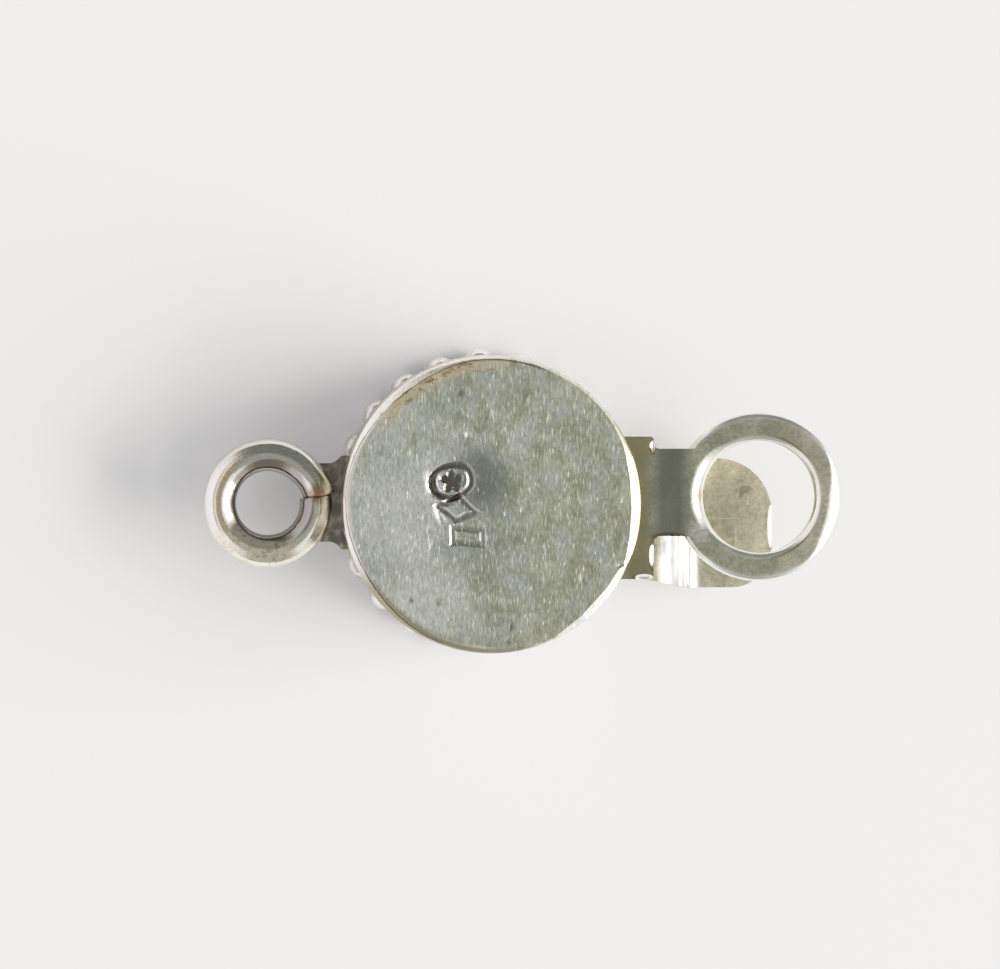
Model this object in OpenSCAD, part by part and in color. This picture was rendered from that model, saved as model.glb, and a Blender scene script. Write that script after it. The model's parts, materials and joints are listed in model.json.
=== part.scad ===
// Round box clasp for a necklace or bracelet, lying on its granulated front.
// Millimetres, +Z up. The tongue slides out of the box along +X.
// The origin is on the table, under the middle of the clasp's length and width.

/* [Box] */
// Outside diameter of the round box
box_d = 10; // [9.8:0.1:10.2]
// Height of the box from the table to the back plate's face
box_h = 5; // [5:0.1:5.4]
// Thickness of the side band
wall_t = 0.35; // [0.3:0.05:0.4]
// Thickness of the front plate and its dome
front_t = 0.35; // [0.3:0.05:0.4]
// Diameter of the dome on the front plate
dome_d = 8; // [7.6:0.1:8]
// Height of the dome
dome_h = 0.9; // [0.6:0.1:1]
// Thickness of the back plate
back_t = 0.45; // [0.4:0.05:0.5]

/* [Granules] */
// Number of granules round the front
granule_n = 22; // [20:2:22]
// Diameter of a granule
granule_d = 1.2; // [1.2:0.05:1.3]
// How far inside the edge of the box the middle of a granule lies
granule_inset = 0.4; // [0.3:0.05:0.4]
// How far the border of granules lies off the box's middle, away from the tongue
granule_shift = 0.12; // [0:0.02:0.12]
// Angle of the first granule from the tongue's side
granule_phase = 10.2; // [0:0.1:16]

/* [Box ring] */
// Thickness of the ring's wire
wire_d = 1.1; // [1:0.05:1.1]
// Diameter of the ring's hole, worn smooth inside
box_hole_d = 2.2; // [2.1:0.05:2.3]
// Distance from the middle of the box to the middle of the ring
box_ring_x = 7.51; // [7.4:0.01:7.6]
// Height of the ring's middle above the table
box_ring_z = 2.6; // [2.5:0.1:3]
// Width of the tab that carries the ring
tab_w = 2.65; // [2.4:0.05:2.8]
// Thickness of the tab
tab_t = 0.5; // [0.45:0.05:0.6]

/* [Tongue] */
// Width of the tongue's blade
tongue_w = 4.8; // [4.6:0.1:4.8]
// Thickness of the blade
tongue_t = 0.42; // [0.4:0.01:0.44]
// How far the blade's middle lies off the box's centre line
tongue_y = -0.12; // [-0.2:0.01:0]
// Distance from the middle of the box to the edge of the shoulder
shoulder_x = 5.47; // [5.4:0.01:5.6]
// Width of the neck
neck_w = 2.95; // [2.8:0.05:3]
// How far the neck's middle lies off the centre line
neck_y = 0.4; // [0.3:0.05:0.45]
// Clear space in the hairpin fold, measured as a radius
fold_r = 0.12; // [0.1:0.01:0.14]

/* [Tongue ring] */
// Outside diameter of the ring
ring_d = 5.68; // [5.6:0.02:5.8]
// Diameter of the ring's hole
ring_hole_d = 3.76; // [3.7:0.02:3.8]
// Height of the ring's section
ring_h = 0.9; // [0.8:0.05:0.95]
// How far the ring stands above the blade
ring_rise = 0.04; // [0:0.02:0.1]
// Distance from the middle of the box to the middle of the ring
ring_x = 9; // [8.9:0.05:9.1]
// How far the ring's middle lies off the centre line
ring_y = 0.25; // [0.2:0.01:0.3]

/* [Spring leaf and thumb press] */
// Thickness of the leaf and the thumb press
leaf_t = 0.32; // [0.28:0.02:0.34]
// Angle at which the relaxed leaf stands off the blade
leaf_slope = 7; // [6.5:0.1:7.2]
// Width of the stem that passes through the notch
stem_w = 2.8; // [2.4:0.1:2.8]
// How far the stem's middle lies off the centre line
stem_y = -0.5; // [-0.6:0.05:-0.4]
// Distance from the middle of the box to the end of the thumb press
press_x = 9.62; // [9.4:0.02:9.7]
// Width of the thumb press
press_w = 4.4; // [4.2:0.1:4.5]
// How far the middle of the thumb press lies off the centre line
press_y = -0.72; // [-0.8:0.02:-0.6]
// Height of the thumb press's face above the table
press_z = 1.45; // [1.3:0.05:1.6]

/* [Hidden] */
$fn = 96;

// Gap between pieces that are soldered or pressed together but kept apart here
seat_gap = 0.02;
// Play round the tongue in its slot and round the stem in its notch
slot_play = 0.1;

box_r = box_d / 2;
inner_r = box_r - wall_t;
granule_r = granule_d / 2;
granule_ring_r = box_r - granule_inset;
// The granules are sunk this far into the front plate
granule_sink = 0.15;
front_z = granule_d - granule_sink;
band_z = front_z + front_t + seat_gap;
band_top_z = box_h - back_t - seat_gap;
back_edge_r = 0.08;
dome_r = (pow(dome_d / 2, 2) + dome_h * dome_h) / (2 * dome_h);
dome_centre_z = front_z - dome_h + dome_r;

box_hole_r = box_hole_d / 2;
wire_r = wire_d / 2;
// The wire's middle line; the worn inside takes a hair off the wire
wear = 0.02;
box_ring_r = box_hole_r + wire_r - wear;
// Height of the tab's top face, just inside the underside of the wire
tab_top_z = box_ring_z - wire_r + 0.12;
tab_end_x = -box_ring_x + box_ring_r - 0.2;
// Slit where the two ends of the ring's wire meet
seam_w = 0.06;
seam_depth = 0.3;

// The blade lies this far under the back plate
blade_top_z = band_top_z - 0.13;
fold_outer_r = fold_r + tongue_t;
fold_z = blade_top_z - fold_outer_r;
// Room between the corners of the fold and the inside of the band
fold_room = 0.27;
fold_corner_y = tongue_w / 2 + abs(tongue_y);
fold_x = fold_outer_r - sqrt(pow(inner_r - fold_room, 2) - pow(fold_corner_y, 2));
ring_r = ring_d / 2;
ring_hole_r = ring_hole_d / 2;
ring_edge_r = 0.18;
ring_mid_z = blade_top_z + ring_rise - ring_h / 2;

// The slot runs from here to the back plate
slot_z = fold_z - fold_outer_r - slot_play - 0.02;
// The catch shoulders stand this far inside the wall, the press this far outside
catch_play = 0.17;
press_play = 0.12;
catch_r = inner_r - catch_play;
press_inner_r = box_r + press_play;
// Where the stem ends and the thumb press begins
stem_end_x = box_r + 0.15;
notch_z = leaf_floor(stem_end_x) - slot_play;

// Where the thumb press bends down and where it lies flat again, seen from the side
bend_out_x = 5.74;
bend_flat_x = 6.95;
bend_r = 0.35;
press_floor_z = press_z - leaf_t;

// Chamfer filed on the back plate's edge over the slot
filed_x = 4.62;
filed_angle = 38;
filed_turn = 3;

// Middle of the whole length, from the outer edge of one ring to that of the other
middle_x = (ring_x + ring_r - box_ring_x - box_ring_r - wire_r) / 2;

module place() translate([-middle_x, 0, 0]) children();

// Rounded rectangle from true arcs, with its lower left corner at the origin
module rounded(w, h, r) {
    translate([r, 0]) square([w - 2 * r, h]);
    translate([0, r]) square([w, h - 2 * r]);
    for (x = [r, w - r], y = [r, h - r])
        translate([x, y]) circle(r);
}

// Coordinates of the relaxed leaf: origin on the fold's axis, X along the leaf
module leaf_frame() translate([fold_x, 0, fold_z]) rotate([0, leaf_slope, 0]) children();

module domed_plate() {
    difference() {
        union() {
            translate([0, 0, front_z]) cylinder(h = front_t, r = box_r);
            intersection() {
                translate([0, 0, dome_centre_z]) sphere(dome_r);
                cylinder(h = front_z + front_t / 2, r = box_r - granule_d);
            }
        }
        intersection() {
            translate([0, 0, dome_centre_z]) sphere(dome_r - front_t);
            cylinder(h = front_z + 2 * front_t, r = box_r - granule_d);
        }
    }
}

module granules() {
    translate([-granule_shift, 0, granule_r]) for (i = [0 : granule_n - 1])
        rotate(granule_phase + i * 360 / granule_n)
            translate([granule_ring_r, 0, 0]) sphere(granule_r);
}

module front_plate() {
    color([0.74, 0.74, 0.69]) place() {
        domed_plate();
        granules();
    }
}

// Box across the +X side of the band, from one height to another
module wall_cut(y, w, z0, z1) {
    translate([inner_r - 1.5, y - w / 2, z0]) cube([3, w, z1 - z0]);
}

module side_band() {
    band_h = band_top_z - band_z;
    color([0.74, 0.74, 0.69]) place() difference() {
        translate([0, 0, band_z]) cylinder(h = band_h, r = box_r);
        translate([0, 0, band_z - 1]) cylinder(h = band_h + 2, r = inner_r);
        wall_cut(tongue_y, tongue_w + 2 * slot_play, slot_z, box_h);
        wall_cut(stem_y, stem_w + 2 * slot_play, notch_z, slot_z + slot_play);
    }
}

module back_plate() {
    color([0.68, 0.69, 0.63]) place() difference() {
        translate([0, 0, box_h - back_t]) rotate_extrude() intersection() {
            translate([-box_r, 0]) rounded(box_d, back_t, back_edge_r);
            square([box_d, box_d]);
        }
        rotate(filed_turn) translate([filed_x, -box_r, box_h])
            rotate([0, filed_angle, 0]) cube([box_r, box_d, box_r]);
    }
}

module box_ring() {
    color([0.72, 0.71, 0.65]) place() difference() {
        union() {
            translate([-box_ring_x, 0, box_ring_z]) rotate_extrude()
                translate([box_ring_r, 0]) circle(wire_r);
            difference() {
                translate([tab_end_x, -tab_w / 2, tab_top_z - tab_t])
                    cube([-tab_end_x, tab_w, tab_t]);
                cylinder(h = box_h, r = box_r + seat_gap);
            }
        }
        translate([-box_ring_x, 0, 0]) cylinder(h = box_h, r = box_hole_r);
        translate([-box_ring_x + box_hole_r, -seam_w / 2, box_ring_z + wire_r - seam_depth])
            cube([wire_d, seam_w, seam_depth]);
    }
}

// Blade and hairpin fold, seen from the side: X along the blade, Y up, axis of the fold at 0
module blade_profile() {
    translate([0, fold_r]) square([shoulder_x - fold_x, tongue_t]);
    difference() {
        circle(fold_outer_r);
        circle(fold_r);
        translate([0, -box_r]) square(box_d);
        rotate(-leaf_slope) translate([-seat_gap, -box_r]) square([box_r, box_r]);
    }
}

module tongue() {
    color([0.70, 0.70, 0.63]) place() {
        translate([fold_x, tongue_y + tongue_w / 2, fold_z]) rotate([90, 0, 0])
            linear_extrude(tongue_w) blade_profile();
        difference() {
            translate([shoulder_x - 1, neck_y - neck_w / 2, blade_top_z - tongue_t])
                cube([ring_x - shoulder_x + 1, neck_w, tongue_t]);
            translate([ring_x, ring_y, 0]) cylinder(h = box_h, r = ring_hole_r + ring_edge_r);
        }
        translate([ring_x, ring_y, ring_mid_z - ring_h / 2]) rotate_extrude()
            translate([ring_hole_r, 0]) rounded(ring_r - ring_hole_r, ring_h, ring_edge_r);
    }
}

// Flat strip of the leaf in its own frame, of the width and length given
module leaf_strip(y, w, len) {
    leaf_frame() translate([seat_gap, y - w / 2, -fold_outer_r]) cube([len, w, leaf_t]);
}

module spring_leaf() {
    color([0.66, 0.66, 0.60]) place() {
        intersection() {
            leaf_strip(tongue_y, tongue_w, box_d);
            cylinder(h = box_h, r = catch_r);
        }
        intersection() {
            leaf_strip(stem_y, stem_w, box_d);
            translate([0, -box_r, 0]) cube([stem_end_x, box_d, box_h]);
        }
    }
}

// Where the underside of the relaxed leaf lies at a given X
function leaf_floor(x) = fold_z - fold_outer_r / cos(leaf_slope) - (x - fold_x) * tan(leaf_slope);

function arc(cx, cy, r, from, to, steps) =
    [for (i = [0 : steps]) let (a = from + (to - from) * i / steps)
        [cx + r * cos(a), cy + r * sin(a)]];

// One bend of a strip's underside: [x, z, slope] along an arc that ends both straight runs
function bend(x, z, from, to, r, steps) =
    let (reach = r * tan(abs(to - from) / 2), side = to < from ? -1 : 1,
         cx = x - reach * cos(from) - side * r * sin(from),
         cz = z - reach * sin(from) + side * r * cos(from))
    [for (i = [0 : steps]) let (a = from + (to - from) * i / steps)
        [cx + side * r * sin(a), cz - side * r * cos(a), a]];

// Side view of the thumb press: on the leaf's slope, steeply down, then flat
module press_profile() {
    start_x = box_r - 1;
    fall = atan2(press_floor_z - leaf_floor(bend_out_x), bend_flat_x - bend_out_x);
    run = concat(
        [[start_x, leaf_floor(start_x), -leaf_slope]],
        bend(bend_out_x, leaf_floor(bend_out_x), -leaf_slope, fall, bend_r, 6),
        bend(bend_flat_x, press_floor_z, fall, 0, bend_r + leaf_t, 6),
        [[press_x + 1, press_floor_z, 0]]
    );
    last = len(run) - 1;
    polygon(concat(
        [for (p = run) [p[0], p[1]]],
        [for (i = [last : -1 : 0]) let (p = run[i])
            [p[0] - leaf_t * sin(p[2]), p[1] + leaf_t * cos(p[2])]]
    ));
}

// The thumb press seen from above, from its edge round the box to its end
module press_outline() {
    top_y = press_y + press_w / 2;
    low_y = press_y - press_w / 2;
    stem_top_y = stem_y + stem_w / 2;
    stem_low_y = stem_y - stem_w / 2;
    // The press widens a little on its lower side between the box and this X
    flare_x = 6.7;
    flare = 0.23;
    big_r = 1.9;
    small_r = 1.4;
    polygon(concat(
        arc(0, 0, press_inner_r, asin(top_y / press_inner_r), asin(stem_top_y / press_inner_r), 4),
        [[stem_end_x, stem_top_y], [stem_end_x, stem_low_y]],
        arc(0, 0, press_inner_r, asin(stem_low_y / press_inner_r),
            asin((low_y + flare) / press_inner_r), 4),
        [[flare_x, low_y]],
        arc(press_x - small_r, low_y + small_r, small_r, -90, 0, 10),
        arc(press_x - big_r, top_y - big_r, big_r, 0, 90, 14)
    ));
}

module thumb_press() {
    color([0.67, 0.66, 0.58]) place() intersection() {
        translate([0, box_r, 0]) rotate([90, 0, 0]) linear_extrude(box_d) press_profile();
        linear_extrude(box_h) press_outline();
    }
}

front_plate();
side_band();
back_plate();
box_ring();
tongue();
spring_leaf();
thumb_press();
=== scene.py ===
"""Round silver box clasp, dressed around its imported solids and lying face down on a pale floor.

Lengths are millimetres while a piece is being made. settle() turns each finished piece into metres.
"""

import json
import math
import random
from collections import namedtuple
from contextlib import contextmanager

import bmesh
import bpy
from mathutils import Matrix, Vector


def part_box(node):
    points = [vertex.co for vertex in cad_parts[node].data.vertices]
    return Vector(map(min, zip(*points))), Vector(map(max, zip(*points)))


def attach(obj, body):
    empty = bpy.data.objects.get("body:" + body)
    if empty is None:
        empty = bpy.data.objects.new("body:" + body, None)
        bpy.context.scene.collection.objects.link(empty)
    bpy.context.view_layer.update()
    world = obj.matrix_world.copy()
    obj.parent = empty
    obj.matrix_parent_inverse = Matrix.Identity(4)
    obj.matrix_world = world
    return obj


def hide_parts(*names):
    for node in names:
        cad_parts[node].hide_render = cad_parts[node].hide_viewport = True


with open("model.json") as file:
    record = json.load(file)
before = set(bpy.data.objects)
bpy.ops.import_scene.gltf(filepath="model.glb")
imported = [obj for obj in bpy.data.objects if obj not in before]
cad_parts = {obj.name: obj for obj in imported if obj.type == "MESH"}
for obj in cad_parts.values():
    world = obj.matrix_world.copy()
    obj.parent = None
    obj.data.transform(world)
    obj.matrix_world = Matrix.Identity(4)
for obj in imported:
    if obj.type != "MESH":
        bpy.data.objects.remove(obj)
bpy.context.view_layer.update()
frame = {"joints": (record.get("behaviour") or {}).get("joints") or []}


def table(columns, *rows):
    """Rows whose values are read by the names of their columns."""
    row = namedtuple("row", columns)
    return [row(*values) for values in rows]


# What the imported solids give

# A metre in millimetres
METRE = 1000


def span(node):
    """Lowest and highest corner of a solid, in millimetres."""
    low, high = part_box(node)
    return low * METRE, high * METRE


def joint_place(name):
    """Where a joint's axis passes, in millimetres."""
    joint = next(j for j in frame["joints"] if j["name"] == name)
    return Vector(joint["pos_m"]) * METRE


BAND_LOW, BAND_HIGH = span("side_band")
FRONT_LOW, FRONT_HIGH = span("front_plate")
BACK_LOW, BACK_HIGH = span("back_plate")
WIRE_LOW, WIRE_HIGH = span("box_ring")
TONGUE_LOW, TONGUE_HIGH = span("tongue")
LEAF_LOW = span("spring_leaf")[0]
PRESS_LOW, PRESS_HIGH = span("thumb_press")

BOX_R = (BAND_HIGH.y - BAND_LOW.y) / 2
MID_X = BAND_LOW.x + BOX_R
BOX_TOP = BACK_HIGH.z

# Sheet thicknesses
WALL_T = 0.35
TONGUE_T = 0.42
LEAF_T = 0.32

# A hair, for telling points apart, and the sides of a round outline
HAIR = 1e-4
SIDES = 192
# Heights that a cutter stands between, past every piece, and how far it goes past a wall
CUT_LOW, CUT_HIGH = -1, BOX_TOP + 1
CUT_PAST = 1.5


# Hand tools

def only(piece):
    """Makes piece the one object that is selected and active."""
    bpy.ops.object.select_all(action="DESELECT")
    piece.select_set(True)
    bpy.context.view_layer.objects.active = piece


def fresh(name):
    """Names the primitive that was just added and puts its place in its mesh."""
    piece = bpy.context.active_object
    only(piece)
    piece.name = piece.data.name = name
    bpy.ops.object.transform_apply(location=True, rotation=True, scale=True)
    return piece


@contextmanager
def editing(piece):
    """Edit mode on one piece."""
    only(piece)
    bpy.ops.object.mode_set(mode="EDIT")
    yield bmesh.from_edit_mesh(piece.data)
    bpy.ops.object.mode_set(mode="OBJECT")


def pick(piece, kind, test):
    """In edit mode, selects the verts, edges or faces that pass the test, and nothing else."""
    bpy.ops.mesh.select_mode(type={"verts": "VERT", "edges": "EDGE", "faces": "FACE"}[kind])
    bpy.ops.mesh.select_all(action="DESELECT")
    mesh = bmesh.from_edit_mesh(piece.data)
    for part in getattr(mesh, kind):
        part.select_set(bool(test(part)))
    mesh.select_flush_mode()
    bmesh.update_edit_mesh(piece.data)


def cut(piece, place, normal, drop=False, fill=False, where=None):
    """Cuts the picked faces, or all of them, along a plane, and may drop what lies beyond it."""
    pick(piece, "faces", where or (lambda face: True))
    bpy.ops.mesh.bisect(
        plane_co=place, plane_no=normal, clear_outer=drop, use_fill=fill, threshold=HAIR
    )


def slices(piece, axis, places, where=None):
    """Cuts a piece, or the faces that where picks, at each of the places along X or Y."""
    normal = Vector((1, 0, 0)) if axis == "X" else Vector((0, 1, 0))
    for place in places:
        cut(piece, normal * place, normal, where=where)


def round_corners(piece, offset, segments, test):
    """In edit mode, rounds the points that pass the test."""
    pick(piece, "verts", test)
    bpy.ops.mesh.bevel(affect="VERTICES", offset=offset, segments=segments)


def modify(piece, kind, **settings):
    """Adds a modifier and applies it."""
    only(piece)
    modifier = piece.modifiers.new(kind.lower(), kind)
    for key, value in settings.items():
        setattr(modifier, key, value)
    bpy.ops.object.modifier_apply(modifier=modifier.name)


def soften(piece, width, segments=2, angle=35):
    """Rounds every edge that is sharper than the angle."""
    modify(
        piece, "BEVEL", width=width, segments=segments, limit_method="ANGLE",
        angle_limit=math.radians(angle), use_clamp_overlap=True, miter_outer="MITER_ARC",
    )


def carve(piece, cutter):
    """Cuts piece with another shape, which is then removed."""
    modify(piece, "BOOLEAN", object=cutter, operation="DIFFERENCE", solver="EXACT")
    bpy.data.objects.remove(cutter)


def weld(piece):
    """Merges doubled points and turns every face outwards."""
    with editing(piece):
        bpy.ops.mesh.select_all(action="SELECT")
        bpy.ops.mesh.remove_doubles(threshold=HAIR)
        bpy.ops.mesh.normals_make_consistent(inside=False)


def joined(name, parts):
    """Joins several meshes into one piece."""
    only(parts[0])
    for part in parts:
        part.select_set(True)
    bpy.ops.object.join()
    return fresh(name)


def sculpt(piece, move):
    """Moves every point of a piece by the offset that move gives for it."""
    with editing(piece) as mesh:
        for point in mesh.verts:
            point.co += Vector(move(point.co))
        bmesh.update_edit_mesh(piece.data)


def paint(piece, name, share):
    """Gives every point a share from 0 to 1 that a finish reads by name."""
    layer = piece.data.attributes.new(name, "FLOAT", "POINT")
    layer.data.foreach_set("value", [share(point.co) for point in piece.data.vertices])


def settle(piece, body, node, finish, smooth=38):
    """Turns a finished piece into metres, gives it its finish and puts it on its body."""
    only(piece)
    piece.scale = (1 / METRE,) * 3
    bpy.ops.object.transform_apply(location=True, rotation=True, scale=True)
    bpy.ops.object.shade_smooth_by_angle(angle=math.radians(smooth))
    piece.data.materials.clear()
    piece.data.materials.append(finish)
    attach(piece, body)
    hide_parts(node)


def smooth_step(value):
    """0 below 0, 1 above 1, and a smooth way between."""
    t = min(1, max(0, value))
    return t * t * (3 - 2 * t)


def heading(turn, rise=0):
    """The direction at a turn from +X and a rise from level, both in degrees."""
    turn, rise = math.radians(turn), math.radians(rise)
    level = math.cos(rise)
    return Vector((math.cos(turn) * level, math.sin(turn) * level, math.sin(rise)))


def apart(a, b):
    """The angle between two directions, in degrees."""
    return abs((a - b + 180) % 360 - 180)


def sides(middle, width):
    """Where a strip begins and ends."""
    return middle - width / 2, middle + width / 2


def turned(x, y, degrees):
    """A place seen along axes that are turned by an angle."""
    a = math.radians(degrees)
    return x * math.cos(a) + y * math.sin(a), y * math.cos(a) - x * math.sin(a)


def drum(name, radius, low, high, ends="NGON", place=(MID_X, 0)):
    """An upright cylinder between two heights, round the middle of the box unless told."""
    bpy.ops.mesh.primitive_cylinder_add(
        vertices=SIDES, radius=radius, depth=high - low, end_fill_type=ends,
        location=(*place, (low + high) / 2),
    )
    return fresh(name)


def block(low, high):
    """A plain block between two corners, used to cut with."""
    bpy.ops.mesh.primitive_cube_add(size=1, location=[(a + b) / 2 for a, b in zip(low, high)])
    bpy.context.active_object.scale = [b - a for a, b in zip(low, high)]
    return fresh("cutter")


def sheet(name, low, high, z=0):
    """A flat rectangle between two corners."""
    bpy.ops.mesh.primitive_plane_add(
        size=1, location=((low[0] + high[0]) / 2, (low[1] + high[1]) / 2, z)
    )
    bpy.context.active_object.scale = (high[0] - low[0], high[1] - low[1], 1)
    return fresh(name)


# Finishes

class Nodes:
    """Makes the nodes of a tree, whose inputs take numbers, colours or other nodes' outputs."""

    def __init__(self, tree):
        self.tree = tree

    def node(self, kind, inputs=None, **settings):
        made = self.tree.nodes.new(kind)
        for key, value in settings.items():
            setattr(made, key, value)
        for key, value in (inputs or {}).items():
            socket = made.inputs[key]
            if isinstance(value, bpy.types.NodeSocket):
                self.tree.links.new(value, socket)
            else:
                socket.default_value = (*value, 1) if socket.type == "RGBA" else value
        return made

    def sum(self, a, b, operation="ADD"):
        return self.node("ShaderNodeMath", {0: a, 1: b}, operation=operation).outputs[0]

    def times(self, product, *others):
        for other in others:
            product = self.sum(product, other, "MULTIPLY")
        return product

    def step(self, value, low, high, out=(0, 1)):
        """Goes smoothly from out's first number at low to its second at high."""
        if low > high:
            low, high, out = high, low, (out[1], out[0])
        return self.node("ShaderNodeMapRange", {
            "Value": value, "From Min": low, "From Max": high, "To Min": out[0], "To Max": out[1],
        }, interpolation_type="SMOOTHSTEP").outputs[0]

    def mix(self, share, a, b, blend="MIX"):
        """Colour a turning to colour b."""
        inputs = {0: share, 6: a, 7: b}
        return self.node("ShaderNodeMix", inputs, data_type="RGBA", blend_type=blend).outputs[2]


class Finish(Nodes):
    """A worn silver finish, with its tone laid on in coats. Sizes and depths are millimetres."""

    def __init__(self, name):
        self.material = bpy.data.materials.new(name)
        self.material.use_nodes = True
        super().__init__(self.material.node_tree)
        self.shader = self.tree.nodes["Principled BSDF"]
        self.shader.inputs["Metallic"].default_value = 1
        self.place = self.node("ShaderNodeTexCoord").outputs["Object"]

    def lay(self, colour, *shares):
        """Lays a colour over the tone, as far as the product of the shares says."""
        self.tone = self.mix(self.times(*shares), self.tone, colour)

    def darken(self, pattern, darkest):
        """Darkens the tone, to its darkest share where the pattern is low."""
        self.tone = self.mix(1, self.tone, self.step(pattern, 0.3, 0.7, (darkest, 1)), "MULTIPLY")

    def scaled(self, size, turn=0, shift=(0, 0, 0)):
        """Object coordinates in which one unit is the size given along each axis."""
        return self.node("ShaderNodeMapping", {
            "Vector": self.place,
            "Rotation": (0, 0, math.radians(turn)),
            "Scale": [METRE / s for s in size],
            "Location": shift,
        }).outputs[0]

    def noise(self, size, detail=3, turn=0, shift=(0, 0, 0), distortion=0):
        size = size if isinstance(size, tuple) else (size,) * 3
        return self.node("ShaderNodeTexNoise", {
            "Vector": self.scaled(size, turn, shift),
            "Scale": 1,
            "Detail": detail,
            "Distortion": distortion,
        }).outputs[0]

    def reach(self, x, y, size=(1, 1)):
        """Distance from an upright line, counted in size[0] along X and size[1] along Y."""
        centred = self.scaled((*size, math.inf), shift=(-x / size[0], -y / size[1], 0))
        return self.node("ShaderNodeVectorMath", {0: centred}, operation="LENGTH").outputs["Value"]

    def near(self, x, y, none, full, size=(1, 1)):
        """0 at one distance from an upright line, and 1 at the other."""
        return self.step(self.reach(x, y, size), none, full)

    def axis(self, name):
        """One coordinate, in millimetres."""
        split = self.node("ShaderNodeSeparateXYZ", {0: self.place})
        return self.times(split.outputs[name], METRE)

    def along(self, name, none, full):
        """0 at one place along an axis, and 1 at the other."""
        return self.step(self.axis(name), none, full)

    def off(self, value, middle):
        """How far a value is from a middle one, either way."""
        return self.sum(self.sum(value, -middle), 0, "ABSOLUTE")

    def painted(self, name):
        """The share that was painted on the piece's points under this name."""
        return self.node("ShaderNodeAttribute", attribute_name=name).outputs["Fac"]

    def flecks(self, size, share, turn=0, shift=(0, 0, 0)):
        """Small separate marks, where share is the part of the cells that holds one."""
        cells = self.node("ShaderNodeTexVoronoi", {
            "Vector": self.scaled(size, turn, shift), "Scale": 1, "Randomness": 1,
        })
        mark = self.step(cells.outputs["Distance"], 0.32, 0.12)
        chosen = self.node("ShaderNodeSeparateColor", {0: cells.outputs["Color"]}).outputs[0]
        return self.times(mark, self.step(chosen, 1 - share - 0.02, 1 - share))

    def between(self, count, phase):
        """1 at the gaps between things that stand in a circle round the box, 0 on the things."""
        centred = self.scaled((1, 1, 1), shift=(GRANULE_SHIFT - MID_X, 0, 0))
        split = self.node("ShaderNodeSeparateXYZ", {0: centred})
        turn = self.sum(split.outputs["Y"], split.outputs["X"], "ARCTAN2")
        steps = self.sum(self.times(turn, count / math.tau), -phase * count / 360)
        return self.times(self.sum(steps, 0.5, "PINGPONG"), 2)

    def finished(self, roughness, height):
        """Links the tone, the roughness and a height in millimetres, and gives the material."""
        relief = self.node("ShaderNodeBump", {"Height": height, "Distance": 1 / METRE})
        for name, value in (
            ("Base Color", self.tone), ("Roughness", roughness), ("Normal", relief.outputs[0]),
        ):
            self.tree.links.new(value, self.shader.inputs[name])
        return self.material


# Tones of the worn silver
PALE = (0.86, 0.87, 0.80)
WARM = (0.80, 0.74, 0.60)
BROWN = (0.34, 0.24, 0.13)
DARK = (0.16, 0.14, 0.11)


# Back plate

# Rings of points on the plate, from its edge: narrow ones over its rim, then wide ones
RIM_RING, RIM_RINGS = 0.02, 20
PLATE_RING = 0.1
EDGE_R = 0.08

# Width of the worn rim outside the solder line, by direction from the middle of the plate
RIM = table(
    "turn wide",
    (40, 0.11), (95, 0.12), (130, 0.25), (172, 0.08),
    (214, 0.20), (255, 0.07), (310, 0.05), (400, 0.11),
)
RIM_DROP = 0.14
LINE_W, LINE_DEPTH = 0.022, 0.04

# Strokes of the file on the plate's edge: direction in degrees, distance from the middle, tilt
FILED = table(
    "turn reach tilt",
    (-11, 4.76, 38), (-4, 4.70, 38), (3, 4.69, 38), (10, 4.73, 38), (17, 4.81, 38), (25, 4.85, 38),
    (-33, 4.77, 30), (-42, 4.74, 30), (-51, 4.79, 28),
)

# Knocks and nicks in the plate: place from its middle, half width, half length, turn of the
# length from upright, depth, and how dark the dirt in it is
KNOCKS = table(
    "x y wide long turn deep dirt",
    (3.08, -2.46, 0.14, 0.18, 0, 0.04, 0.2),
    (-1.02, 3.74, 0.12, 0.14, 0, 0.01, 0.6),
    (-1.80, -3.28, 0.11, 0.13, 20, 0.01, 0.6),
    (0.65, -4.10, 0.08, 0.13, -10, 0.02, 0.8),
    (-2.70, -3.20, 0.09, 0.09, 0, 0.01, 0.6),
    (-0.78, 2.35, 0.11, 0.12, 0, 0.04, 0),
    (-2.73, 1.75, 0.05, 0.14, -14, 0.02, 0),
    (0.03, 3.12, 0.04, 0.36, 18, 0.02, 0),
    (1.92, 2.92, 0.04, 0.24, -10, 0.02, 0),
    (-2.05, -1.30, 0.05, 0.20, 8, 0.02, 0),
    (2.52, 1.90, 0.05, 0.22, -6, 0.016, 0),
    (0.55, -4.55, 0.12, 0.10, 0, 0.02, 0.3),
    (-2.04, 0.74, 0.15, 0.42, 2, 0.085, 0),
    (-1.76, -0.26, 0.12, 0.40, 18, 0.065, 0),
    (4.38, -2.04, 0.16, 0.07, 0, 0.05, 0.5),
)
# A knock's share at 2.4 times its half size, where it is too little to see
KNOCK_ENDS = math.exp(-(2.4 ** 2))


def flower_reach(u, v, mark):
    """Distance from a sunken flower and the oval frame around it."""
    oval = abs(math.hypot(u / mark.wide, v / mark.long) - 1)
    petal = 0.12 + 0.19 * abs(math.cos(PETALS / 2 * math.atan2(v, u)))
    return min(oval * mark.long, max(0, math.hypot(u, v) - petal))


def lozenge_reach(u, v, mark):
    a, b = mark.wide, mark.long
    return abs(abs(u) / a + abs(v) / b - 1) * a * b / math.hypot(a, b)


def bar_reach(u, v, mark):
    return abs(max(abs(u) - mark.wide, abs(v) - mark.long))


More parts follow.
